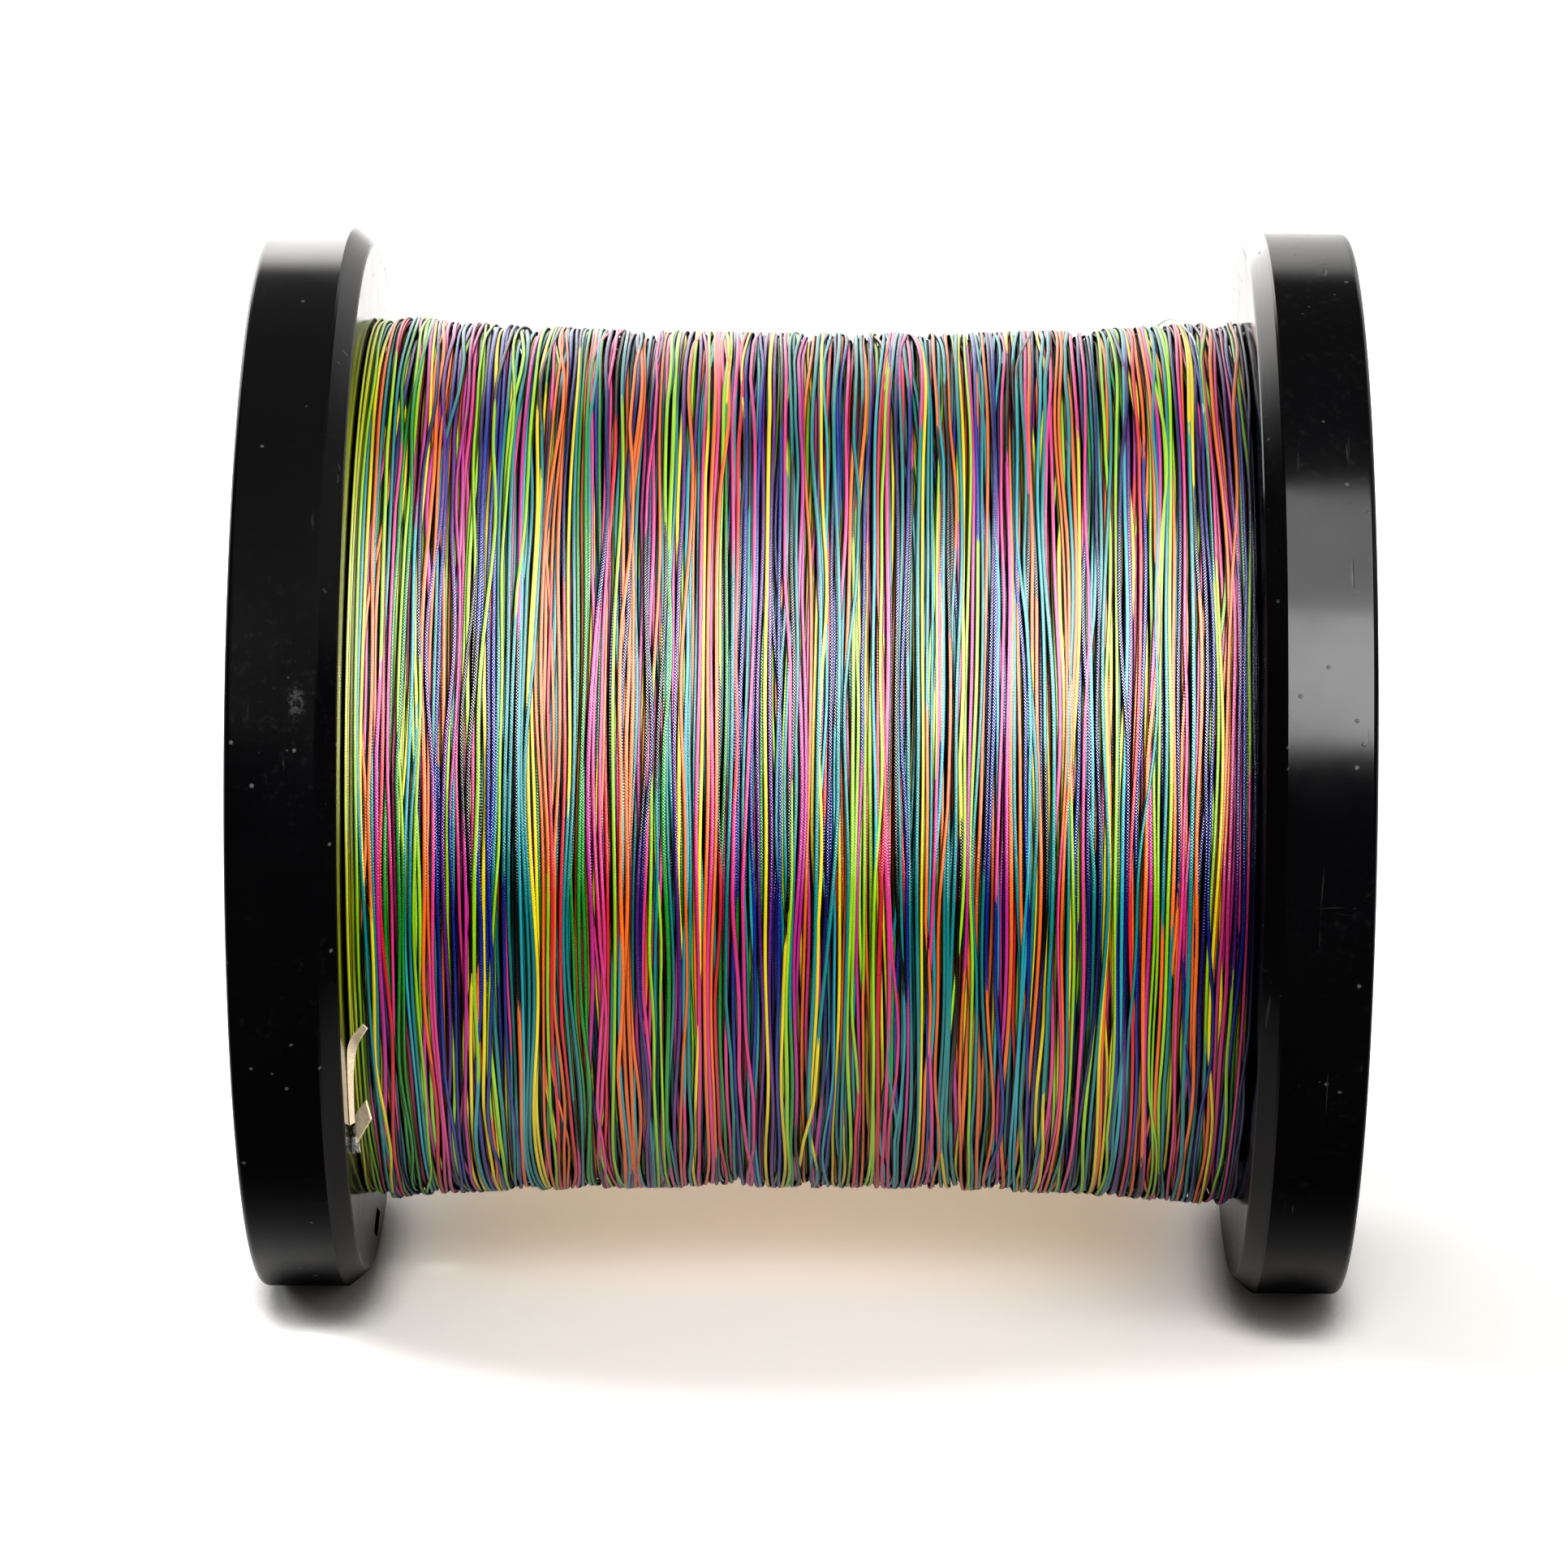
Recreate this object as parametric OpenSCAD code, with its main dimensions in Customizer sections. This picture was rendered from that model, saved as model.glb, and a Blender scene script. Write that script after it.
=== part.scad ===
// Bulk spool of braided fishing line: a barrel between two dished flanges, wound nearly full.
// The spool's axis lies along X and both rims stand on the ground. Millimetres.

/* [Spool] */
// Diameter of each flange
flange_d = 125; // [120:1:130]
// Width over both flanges
spool_w = 126.4; // [124:0.2:128]
// Clear width between the flanges
traverse_w = 101.8; // [100:0.2:102]
// Outside diameter of the barrel
barrel_d = 80; // [76:1:84]
// Wall of the barrel
barrel_wall = 2.5; // [2:0.1:3]
// Diameter of the spindle bore
bore_d = 16; // [14:0.5:18]

/* [Flange] */
// Thickness of the flange's web
web_t = 3.2; // [2.5:0.1:4]
// Radial thickness of the rim
rim_wall = 3.6; // [3:0.1:4]
// Axial width of the chamfer on the rim's inner side
chamfer_w = 2.2; // [1.5:0.1:3]
// Radial depth of the same chamfer
chamfer_h = 1.8; // [1.4:0.1:2.4]
// Rounding of the rim's outer edge
edge_r = 0.8; // [0.4:0.1:1.2]
// Number of radial ribs on the outer side
rib_count = 8; // [4:4:12]
// Thickness of each rib
rib_t = 2; // [1.5:0.1:3]
// Diameter of the driver holes
driver_d = 6; // [4:0.5:7]
// Diameter of the circle that the driver holes lie on
driver_pcd = 48; // [44:1:52]

/* [Line end slot] */
// Length of the diamond slot, along the rim
slot_l = 10.3; // [8:0.1:14]
// Width of the diamond slot, across the rim
slot_w = 3.7; // [2:0.1:4]
// Distance of the slot from the axis
slot_r = 56.7; // [54:0.1:56.8]
// Angle of the slot below the horizontal, on the front side
slot_drop = 85.5; // [76:0.5:100]

/* [Line] */
// Diameter of the braided line
line_d = 0.5; // [0.3:0.05:0.8]
// Radius of the wound line against the flanges
wound_end_r = 52.2; // [48:0.1:54]
// Radius of the wound line halfway along
wound_mid_r = 50.3; // [47:0.1:53]
// Radius up to which the line counts as the inner package
inner_r = 47; // [44:0.5:48]

/* [Tape] */
// Length of the folded tape tab, along the rim
tab_l = 12; // [8:1:18]
// Angle of the tab below the horizontal, on the front side
tab_drop = 27; // [20:1:40]

/* [Hidden] */
$fn = 96;

flange_r = flange_d / 2;
flange_t = (spool_w - traverse_w) / 2;
face_x = traverse_w / 2;
barrel_r = barrel_d / 2;
bore_r = bore_d / 2;

// Outer side of a flange: rim pocket, a ring over the barrel's wall and the hub
pocket_r = flange_r - rim_wall;
ring_r = barrel_r - 2;
ring_t = 2.4;
ring_h = flange_t - 2;
hub_r = bore_r + 5;
rib_h = flange_t - 1.4;
pocket_fillet = 1.2;

// Inner side of a flange: a spigot inside the barrel and a socket around the axle tube
fit_gap = 0.1;
spigot_t = 2.4;
spigot_l = 7;
spigot_r = barrel_r - barrel_wall - fit_gap;
tube_r = bore_r + 3;
socket_r = tube_r + fit_gap;
socket_t = 2.4;
socket_l = 6;

// The tape strip that holds the line's first turns on the barrel
start_tape_t = 0.25;
start_tape_w = 18;
start_tape_arc = 70;
package_r = barrel_r + start_tape_t + 0.05;
side_gap = 0.1;

// The hollowing of the wound surface rises with this power of the distance from the middle
hollow_power = 2.6;
profile_steps = 20;

// The tape tab stands beside the left flange, its foot on the wound line
tab_t = 0.8;
tab_x = -face_x + 0.55;
tab_low_r = wound_end_r + 0.3;
tab_high_r = tab_low_r + 3.2;
flap_l = 5;
flap_w = 2.2;
flap_t = 0.5;

// The line's end hangs out below the tab and its tip is frayed
stalk_l = 1.6;
stalk_up = 1.4;
tip_l = 2.4;

// The slack turn stands up behind the top of the wound line, near the right flange
loop_x = 43.4;
loop_r = 1.2;
loop_drop = -101;

// A quarter circle of points around a centre, for a rounded convex corner
function quarter(cx, cy, r, a0, steps = 6) =
    [for (i = [0:steps]) [cx + r * cos(a0 + 90 * i / steps), cy + r * sin(a0 + 90 * i / steps)]];

// Radius of the wound line at a distance x from the middle
function wound_r(x) =
    wound_mid_r + (wound_end_r - wound_mid_r) * pow(abs(x) / face_x, hollow_power);

// Turns a shape that stands along +Z so that it lies along +X
module along_x() {
    rotate([0, 90, 0]) children();
}

// A tube along X from x0 to x1
module tube_x(x0, x1, outer, inner) {
    translate([x0, 0, 0]) along_x() difference() {
        cylinder(h = x1 - x0, r = outer);
        translate([0, 0, -1]) cylinder(h = x1 - x0 + 2, r = inner);
    }
}

// Moves a shape from the top of the spool to an angle below the horizontal on the front side
module at_drop(drop) {
    rotate([90 + drop, 0, 0]) children();
}

// Section of the turned part of a flange: x is the radius, y the distance out from the inner face
module flange_section() {
    polygon(concat(
        [[bore_r, 0], [flange_r - chamfer_h - 0.25, 0], [flange_r - chamfer_h, 0.15],
         [flange_r - 0.2, chamfer_w - 0.15], [flange_r, chamfer_w + 0.15]],
        quarter(flange_r - edge_r, flange_t - edge_r, edge_r, 0),
        [[pocket_r + 0.5, flange_t], [pocket_r, flange_t - 0.5]],
        [for (i = [0:5]) [pocket_r - pocket_fillet + pocket_fillet * cos(90 * i / 5),
                          web_t + pocket_fillet - pocket_fillet * sin(90 * i / 5)]],
        [[ring_r, web_t], [ring_r, ring_h], [ring_r - ring_t, ring_h], [ring_r - ring_t, web_t],
         [hub_r, web_t], [hub_r, flange_t - 0.6], [hub_r - 0.6, flange_t],
         [bore_r + 0.8, flange_t], [bore_r, flange_t - 0.8]]));
}

// One flange, lying with its inner face at z = 0 and its outer side up
module flange_shape(slotted) {
    difference() {
        union() {
            rotate_extrude() flange_section();
            for (i = [0:rib_count - 1])
                rotate([0, 0, 360 * (i + 0.5) / rib_count])
                    translate([hub_r - 1, -rib_t / 2, web_t - 0.5])
                        cube([pocket_r + 0.8 - hub_r + 1, rib_t, rib_h - web_t + 0.5]);
            translate([0, 0, -spigot_l]) difference() {
                cylinder(h = spigot_l + 1, r = spigot_r);
                translate([0, 0, -1]) cylinder(h = spigot_l + 3, r = spigot_r - spigot_t);
            }
            translate([0, 0, -socket_l]) difference() {
                cylinder(h = socket_l + 1, r = socket_r + socket_t);
                translate([0, 0, -1]) cylinder(h = socket_l + 1, r = socket_r);
                translate([0, 0, -1]) cylinder(h = socket_l + 3, r = bore_r);
            }
        }
        for (i = [0:3])
            rotate([0, 0, 90 * i])
                translate([driver_pcd / 2, 0, -1]) cylinder(h = web_t + 2, d = driver_d, $fn = 48);
        if (slotted)
            rotate([0, 0, slot_drop - 90])
                translate([slot_r, 0, -1]) linear_extrude(web_t + 2)
                    polygon([[0, -slot_l / 2], [slot_w / 2, 0], [0, slot_l / 2], [-slot_w / 2, 0]]);
    }
}

// The left flange, with the slot that can hold the line's end
module left_flange() {
    color([0.05, 0.05, 0.055]) mirror([1, 0, 0])
        translate([face_x, 0, 0]) along_x() flange_shape(true);
}

// The right flange
module right_flange() {
    color([0.05, 0.05, 0.055]) translate([face_x, 0, 0]) along_x() flange_shape(false);
}

// The tube that the line is wound on
module barrel() {
    color([0.07, 0.07, 0.08]) tube_x(-face_x, face_x, barrel_r, barrel_r - barrel_wall);
}

// The inner tube that the spindle runs through
module axle_tube() {
    color([0.07, 0.07, 0.08]) tube_x(-face_x, face_x, tube_r, bore_r);
}

// The strip of tape that holds the line's start on the barrel
module start_tape() {
    color([0.9, 0.83, 0.68]) translate([-start_tape_w - 20, 0, 0]) along_x()
        rotate_extrude(angle = start_tape_arc)
            translate([barrel_r, 0]) square([start_tape_t, start_tape_w]);
}

// The line's inner layers
module inner_winding() {
    color([0.1, 0.35, 0.4])
        tube_x(-face_x + side_gap, face_x - side_gap, inner_r, package_r);
}

// The line's outer layers, slightly hollow between the flanges
module outer_winding() {
    x_end = face_x - side_gap;
    color([0.25, 0.6, 0.5]) along_x() rotate_extrude()
        polygon(concat(
            [[inner_r, x_end], [inner_r, -x_end]],
            [for (i = [0:profile_steps])
                let (x = -x_end + 2 * x_end * i / profile_steps) [wound_r(x), x]]));
}

// The masking tape folded over the line's end: a tab with a flap at its lower end
module end_tape() {
    color([0.88, 0.8, 0.67]) at_drop(tab_drop) {
        translate([tab_x - tab_t / 2, -tab_l / 2, tab_low_r])
            cube([tab_t, tab_l, tab_high_r - tab_low_r]);
        translate([tab_x - tab_t / 2, -tab_l / 2, tab_low_r])
            cube([tab_t / 2 + flap_w, flap_l, flap_t]);
    }
}

// The short stalk of line that comes out of the tape
module line_end() {
    color([0.3, 0.32, 0.12]) at_drop(tab_drop)
        translate([tab_x, -tab_l / 2, tab_low_r + stalk_up])
            rotate([90, 0, 0]) cylinder(h = stalk_l, d = line_d * 1.6, $fn = 24);
}

// The line's frayed tip, a tuft of loose fibres
module frayed_tip() {
    color([0.6, 0.62, 0.58]) at_drop(tab_drop)
        translate([tab_x, -tab_l / 2 - stalk_l, tab_low_r + stalk_up])
            rotate([90, 0, 0])
                cylinder(h = tip_l, r1 = line_d * 0.8, r2 = line_d * 1.7, $fn = 24);
}

// A slack turn of line that stands up from the wound surface
module stray_loop() {
    color([0.1, 0.45, 0.45]) at_drop(loop_drop)
        translate([loop_x, 0, wound_r(loop_x)])
            rotate([90, 0, 0]) rotate_extrude(angle = 180)
                translate([loop_r, 0]) circle(d = line_d, $fn = 24);
}

left_flange();
right_flange();
barrel();
axle_tube();
start_tape();
inner_winding();
outer_winding();
end_tape();
line_end();
frayed_tip();
stray_loop();
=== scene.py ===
"""A bulk spool of multicolour braided fishing line, standing on its two rims in a white studio."""
import math

import bpy
import numpy as np
from mathutils import Matrix, Vector


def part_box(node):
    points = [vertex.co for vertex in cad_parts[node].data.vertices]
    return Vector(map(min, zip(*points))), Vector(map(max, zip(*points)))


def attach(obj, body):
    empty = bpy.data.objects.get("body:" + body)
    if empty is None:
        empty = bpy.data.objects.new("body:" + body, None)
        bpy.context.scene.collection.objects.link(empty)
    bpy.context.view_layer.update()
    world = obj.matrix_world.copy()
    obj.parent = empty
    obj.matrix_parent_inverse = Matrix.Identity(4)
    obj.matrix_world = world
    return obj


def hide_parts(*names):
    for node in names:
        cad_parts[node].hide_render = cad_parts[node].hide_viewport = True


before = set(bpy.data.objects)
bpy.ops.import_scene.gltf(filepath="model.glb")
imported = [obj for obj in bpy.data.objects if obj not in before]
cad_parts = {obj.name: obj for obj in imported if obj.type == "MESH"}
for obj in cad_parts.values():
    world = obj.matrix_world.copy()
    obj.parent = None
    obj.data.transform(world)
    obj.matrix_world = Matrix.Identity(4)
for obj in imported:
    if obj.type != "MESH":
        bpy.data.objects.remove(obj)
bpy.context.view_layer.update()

MM = 0.001
TURN = 2 * math.pi
rng = np.random.default_rng(7)

# Places taken from the CAD model, in millimetres
WOUND_LOW, WOUND_HIGH = (np.array(corner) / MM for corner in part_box("outer_winding"))
INNER_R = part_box("inner_winding")[1][2] / MM
FLANGE_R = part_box("left_flange")[1][2] / MM
FACE_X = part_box("barrel")[1][0] / MM
FLOOR_Z = -FLANGE_R * MM


def add_object(name, data):
    """A new object in the scene."""
    thing = bpy.data.objects.new(name, data)
    bpy.context.scene.collection.objects.link(thing)
    return thing


# ---------------------------------------------------------------- camera

def make_camera():
    """Looks down on the spool from the front, a little from the right, with a long lens."""
    distance, rise, swing, tilt = 0.8147, math.radians(15), 0.010, 0.0048
    aim = Vector((-0.0024, 0, -0.00296))
    back = Vector((math.sin(swing) * math.cos(rise), -math.cos(swing) * math.cos(rise), math.sin(rise)))
    right = (-back).cross(Vector((0, 0, 1))).normalized()
    up = right.cross(-back)
    side = math.cos(tilt) * right + math.sin(tilt) * up
    head = -math.sin(tilt) * right + math.cos(tilt) * up
    lens = bpy.data.cameras.new("camera")
    lens.sensor_width = 36
    lens.lens = 157.9
    lens.clip_start, lens.clip_end = 0.01, 20
    camera = add_object("camera", lens)
    turn = Matrix((side, head, back)).transposed().to_4x4()
    camera.matrix_world = Matrix.Translation(aim + distance * back) @ turn
    bpy.context.scene.camera = camera


# ---------------------------------------------------------------- meshes

def at_drop(drop, radius, x):
    """Points at an angle below the horizontal on the front side, in degrees, at a radius and an x, in mm:
    (x, -radius cos drop, -radius sin drop)."""
    drop = np.radians(drop)
    place = np.broadcast_arrays(x, -radius * np.cos(drop), -radius * np.sin(drop))
    return np.stack(place, axis=-1)


def grid_faces(rows, columns, close_rows=False, close_columns=False, start=0):
    """Four-sided faces of a grid of points numbered row by row, so that row i column j joins i+1 and j+1."""
    i = np.arange(rows if close_rows else rows - 1)[:, None]
    j = np.arange(columns if close_columns else columns - 1)[None, :]
    i_next, j_next = (i + 1) % rows, (j + 1) % columns
    corners = [i * columns + j, i_next * columns + j, i_next * columns + j_next, i * columns + j_next]
    return start + np.stack(np.broadcast_arrays(*corners), axis=-1).reshape(-1, 4)


def make_piece(name, points_mm, faces, material, node=None, uv=None, caps=(), smooth=True):
    """Puts points, four-sided faces and end caps into a mesh that rides on the root body."""
    mesh = bpy.data.meshes.new(name)
    corner_lists = [faces.reshape(-1)] + [np.asarray(cap) for cap in caps]
    sizes = np.concatenate([np.full(len(faces), faces.shape[1])] + [[len(cap)] for cap in caps])
    sizes = sizes.astype(np.int32)
    corners = np.concatenate(corner_lists).astype(np.int32)
    mesh.vertices.add(len(points_mm))
    mesh.vertices.foreach_set("co", (np.asarray(points_mm) * MM).astype(np.float32).ravel())
    mesh.loops.add(len(corners))
    mesh.loops.foreach_set("vertex_index", corners)
    mesh.polygons.add(len(sizes))
    mesh.polygons.foreach_set("loop_start", np.concatenate([[0], np.cumsum(sizes)[:-1]]).astype(np.int32))
    mesh.polygons.foreach_set("loop_total", sizes)
    mesh.polygons.foreach_set("use_smooth", np.full(len(sizes), smooth))
    if uv is not None:
        layer = mesh.uv_layers.new(name="line")
        full = np.zeros((len(corners), 2), np.float32)
        full[: len(uv)] = uv
        layer.data.foreach_set("uv", full.ravel())
    mesh.update(calc_edges=True)
    mesh.validate()
    piece = add_object(name, mesh)
    mesh.materials.append(material)
    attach(piece, "root")
    if node:
        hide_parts(node)
    return piece


def tube_along(path, outward, half_wide, half_high, section):
    """A closed section carried along a path: each point of it is the path's point plus its sideways part
    times the side direction and its upright part times the outward direction. Returns points (n, k,
    3)."""
    ahead = np.gradient(path, axis=0)
    ahead /= np.linalg.norm(ahead, axis=1, keepdims=True)
    side = np.cross(outward, ahead)
    side /= np.linalg.norm(side, axis=1, keepdims=True)
    rise = np.cross(ahead, side)
    across = np.sin(section)[None, :, None] * np.reshape(half_wide, (-1, 1, 1)) * side[:, None, :]
    upright = np.cos(section)[None, :, None] * np.reshape(half_high, (-1, 1, 1)) * rise[:, None, :]
    return path[:, None, :] + across + upright


def tube_shell(rows, round_u, along):
    """Faces, UVs and end caps of a tube. U is given at every edge of its sides, once more at the end, and
    V is the place along the tube in metres at every row."""
    sides = len(round_u) - 1
    faces = grid_faces(rows, sides, close_columns=True)
    i, j = np.divmod(np.arange(len(faces)), sides)
    u = np.stack([round_u[j], round_u[j], round_u[j + 1], round_u[j + 1]], axis=1)
    v = np.stack([along[i], along[i + 1], along[i + 1], along[i]], axis=1)
    caps = [np.arange(sides)[::-1], (rows - 1) * sides + np.arange(sides)]
    return faces, np.stack([u, v], axis=-1).reshape(-1, 2), caps


def add_line_colours(piece, first, second, mix):
    """Gives a piece of line its two colour layers and, at each point, the mix between them."""
    for name, colour in (("line_colour_a", first), ("line_colour_b", second)):
        layer = piece.data.color_attributes.new(name=name, type="FLOAT_COLOR", domain="POINT")
        full = np.ones((len(mix), 4), np.float32)
        full[:, :3] = colour
        layer.data.foreach_set("color", full.ravel())
    layer = piece.data.attributes.new(name="line_colour_mix", type="FLOAT", domain="POINT")
    layer.data.foreach_set("value", mix.astype(np.float32))


# ---------------------------------------------------------------- wound line

# Size of the line's section, how many times it crosses the spool, and samples in a turn; millimetres
# throughout
LINE_WIDE, LINE_HIGH = 0.48, 0.41
PASSES = 3
PER_TURN = 120
PITCH_RANGE = (0.48, 0.56)
FLATTENING = 0.12
PIECE_TURNS = 100

# The package: half its width, how far it is hollow halfway, how thick the separate strands build up, and the
# level and give of its high spots. Drops are degrees below the horizontal at the front.
HALF_WAY = WOUND_HIGH[0]
HOLLOW = 1.9
BUILD_UP = 1.75
HIGH_SPOTS = (-0.35, 0.5)
SEAM_DROP = 150
END_DROP = 30
GUIDE_LIMIT = HALF_WAY - LINE_WIDE / 2 - 0.05

# The height map's cell, how far to each side the slope is felt and how strongly, the steps a turn slides in
# and how far it may go, how many samples a taut strand can bridge, and samples over which turns are joined
CELL = 0.05
SLOPE_PROBES = ((0.15, 0.5), (0.6, 0.2))
SLIDES = 6
SLIDE_LIMIT = 0.3
BRIDGED = 5
JOINED = 14

# Sways of a pass: range of their length along x in mm, range of their whole waves round a turn, and size in
# mm. Wobbles of a turn: length in turns and size in mm. Slips: how many in a turn, and ranges of how long,
# in turns, a slip takes and lasts.
SWAYS = ((12.0, 40.0, (1, 4), 0.14), (5.0, 12.0, (2, 7), 0.105), (2.2, 5.0, (4, 12), 0.08))
SWAYS_EACH = 6
WOBBLES = ((0.12, 0.04), (0.31, 0.09), (0.83, 0.14))
SLIPS_A_TURN = 0.45
SLIP_TAKES, SLIP_LASTS = (0.08, 0.22), (0.1, 0.8)


def wound_radius(x):
    """Radius of the finished surface: hollow by HOLLOW halfway, rising with the power 2.6 of |x|."""
    return WOUND_HIGH[2] - HOLLOW * (1 - np.abs(x / HALF_WAY) ** 2.6)


def smooth_step(t):
    """0 below 0, 1 above 1 and 3t^2 - 2t^3 between."""
    t = np.clip(t, 0, 1)
    return t * t * (3 - 2 * t)


def guide_path():
    """Where the winder's guide stands at each sample, up to the angle where the line ends. Each pass to
    or fro has its own close pitch. It sways by a sum of cosines of (waves times angle + swing times x +
    phase), so that neighbouring turns sway together. Every turn also strays a little on its own, and some
    slip to one side over their neighbours and back."""
    passes, way, first = [], -1 if PASSES % 2 else 1, 0
    start = -way * GUIDE_LIMIT
    for _ in range(PASSES):
        pitch = rng.uniform(*PITCH_RANGE)
        goal = way * (GUIDE_LIMIT - rng.exponential(0.1))
        steps = int(abs(goal - start) / pitch * PER_TURN)
        dwell = int(rng.uniform(0.1, 0.5) * PER_TURN)
        run = np.concatenate([np.linspace(start, goal, steps), np.full(dwell, goal)])
        angle = TURN * (first + np.arange(len(run))) / PER_TURN
        sway = np.zeros(len(run))
        for low, high, waves, size in SWAYS:
            for _ in range(SWAYS_EACH):
                swing = TURN / rng.uniform(low, high) * rng.choice((-1, 1))
                turns_round = rng.integers(*waves)
                sway += size * np.cos(angle * turns_round + swing * run + rng.uniform(0, TURN))
        passes.append(run + sway * smooth_step((HALF_WAY - np.abs(run)) / 3))
        first += len(run)
        way, start = -way, goal
    path = np.concatenate(passes)
    last_part = int((END_DROP - SEAM_DROP) % 360 / 360 * PER_TURN)
    path = path[:(len(path) - last_part) // PER_TURN * PER_TURN + last_part]
    turn = np.arange(len(path)) / PER_TURN
    for period, size in WOBBLES:
        knots = np.arange(int(turn[-1] / period) + 3)
        path += size * np.interp(turn / period, knots, rng.normal(size=len(knots)))
    slips = int(turn[-1] * SLIPS_A_TURN)
    for when, far, quick, stay in zip(rng.uniform(0, turn[-1], slips), rng.normal(0, 1.0, slips),
                                      rng.uniform(*SLIP_TAKES, slips), rng.uniform(*SLIP_LASTS, slips)):
        path += far * (smooth_step((turn - when) / quick) - smooth_step((turn - when - stay) / quick / 1.5))
    path = np.convolve(np.pad(path, 4, mode="edge"), np.hanning(11)[1:-1] / 5, mode="valid")
    to_tape = smooth_step((turn - turn[-1] + 1.6) / 1.2)
    path = path * (1 - to_tape) - GUIDE_LIMIT * to_tape
    return np.clip(path, -GUIDE_LIMIT, GUIDE_LIMIT)


def lay_line(path):
    """Lays the line turn by turn on a height map of the package, top(angle, x). Each turn rests where its
    round underside first touches, slides sideways towards the lower side, and bridges hollows as a taut
    string does. At the end high spots are pressed down: a height h over the level becomes give (1 -
    exp(-h / give)). Returns the x and the radius of the line's centre at each sample."""
    half_wide, half_high = LINE_WIDE / 2, LINE_HIGH / 2
    reach = math.ceil(half_wide / CELL)
    cells = np.arange(-reach, reach + 1)
    cap = half_high * np.sqrt(np.clip(1 - (cells * CELL / half_wide) ** 2, 0, 1))
    columns = np.arange(-HALF_WAY - 0.6, HALF_WAY + 0.6, CELL)
    top = np.tile(wound_radius(np.clip(columns, -HALF_WAY, HALF_WAY)) - BUILD_UP, (PER_TURN, 1))
    step = TURN * WOUND_HIGH[2] / PER_TURN
    kernel = np.hanning(13)[1:-1] / np.hanning(13).sum()
    fade = np.linspace(0, 1, JOINED)
    turns = math.ceil(len(path) / PER_TURN)
    samples = np.minimum(np.arange(turns * PER_TURN + JOINED), len(path) - 1)
    guide = path[samples]
    laid_x, laid_r = np.empty(turns * PER_TURN), np.empty(turns * PER_TURN)

    def rest_height(angle, x):
        cell = np.rint((x - columns[0]) / CELL).astype(int)
        return (top[angle[:, None], cell[:, None] + cells] + cap).max(axis=1)

    carried = None
    for turn in range(turns):
        first = turn * PER_TURN
        angle = np.arange(PER_TURN + JOINED) % PER_TURN
        x = guide[first:first + PER_TURN + JOINED].copy()
        if carried is not None:
            x[:JOINED] += (carried - x[:JOINED]) * (1 - fade)
        aimed = x.copy()
        for _ in range(SLIDES):
            push = np.zeros(len(x))
            for probe, share in SLOPE_PROBES:
                lower = rest_height(angle, np.clip(x - probe, -GUIDE_LIMIT, GUIDE_LIMIT))
                upper = rest_height(angle, np.clip(x + probe, -GUIDE_LIMIT, GUIDE_LIMIT))
                push += share * (lower - upper)
            push = np.convolve(np.pad(np.clip(push, -0.1, 0.1), 5, mode="edge"), kernel, mode="valid")
            x = aimed + np.clip(x + push - aimed, -SLIDE_LIMIT, SLIDE_LIMIT)
            x = np.clip(x, -GUIDE_LIMIT, GUIDE_LIMIT)
        if carried is not None:
            x[:JOINED] = carried * (1 - fade) + x[:JOINED] * fade
        before = laid_r[max(first - BRIDGED, 0):first]
        bare = np.concatenate([before, rest_height(angle, x)])
        taut = bare.copy()
        for far in range(1, BRIDGED + 1):
            sag = (far * step) ** 2 / (2 * WOUND_HIGH[2])
            taut[far:] = np.maximum(taut[far:], bare[:-far] - sag)
            taut[:-far] = np.maximum(taut[:-far], bare[far:] - sag)
        taut = taut[len(before):]
        laid_x[first:first + PER_TURN] = x[:PER_TURN]
        laid_r[first:first + PER_TURN] = taut[:PER_TURN]
        carried = x[PER_TURN:].copy()
        cell = np.rint((x[:PER_TURN] - columns[0]) / CELL).astype(int)
        under = (angle[:PER_TURN, None], cell[:, None] + cells)
        top[under] = np.maximum(top[under], taut[:PER_TURN, None] + cap)
    level, give = HIGH_SPOTS
    proud = laid_r - wound_radius(laid_x) - level
    pressed = np.where(proud > 0, give * (1 - np.exp(-np.clip(proud, 0, None) / give)), proud)
    laid_r += pressed - proud
    return laid_x[:len(path)], laid_r[:len(path)]


# Dyes of the line, as they look in plain light, with how often each comes
DYES = [
    ((0, 150, 150), 20), ((30, 178, 190), 5), ((8, 44, 160), 8), ((28, 18, 112), 5),
    ((255, 232, 10), 12), ((172, 226, 16), 16), ((30, 160, 50), 4), ((255, 128, 34), 14),
    ((236, 66, 150), 11), ((206, 44, 156), 6), ((232, 36, 60), 4), ((108, 28, 144), 4),
]
DYE_DEPTH = 0.88

# Dyed lengths in metres: mean and spread of their logarithm, and limits. Black marks: colour, how many of the
# joins have one, and their range of lengths in metres.
DYED_LOG, DYED_LIMITS = (-1.9, 0.62), (0.04, 0.9)
BLACK_MARK, MARKED_JOINS, MARK_LENGTHS = (14, 12, 12), 0.3, (0.010, 0.045)

# Both colour layers of the turns that touch the left flange (-1) and the right one (1)
EDGE_DYES = {-1: ((205, 215, 40), (232, 218, 40)), 1: ((16, 30, 120), (20, 20, 96))}


def to_linear(colour):
    """Linear values of an sRGB colour given as 0 to 255."""
    value = np.asarray(colour, float) / 255
    return np.where(value < 0.04045, value / 12.92, ((value + 0.055) / 1.055) ** 2.4)


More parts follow.
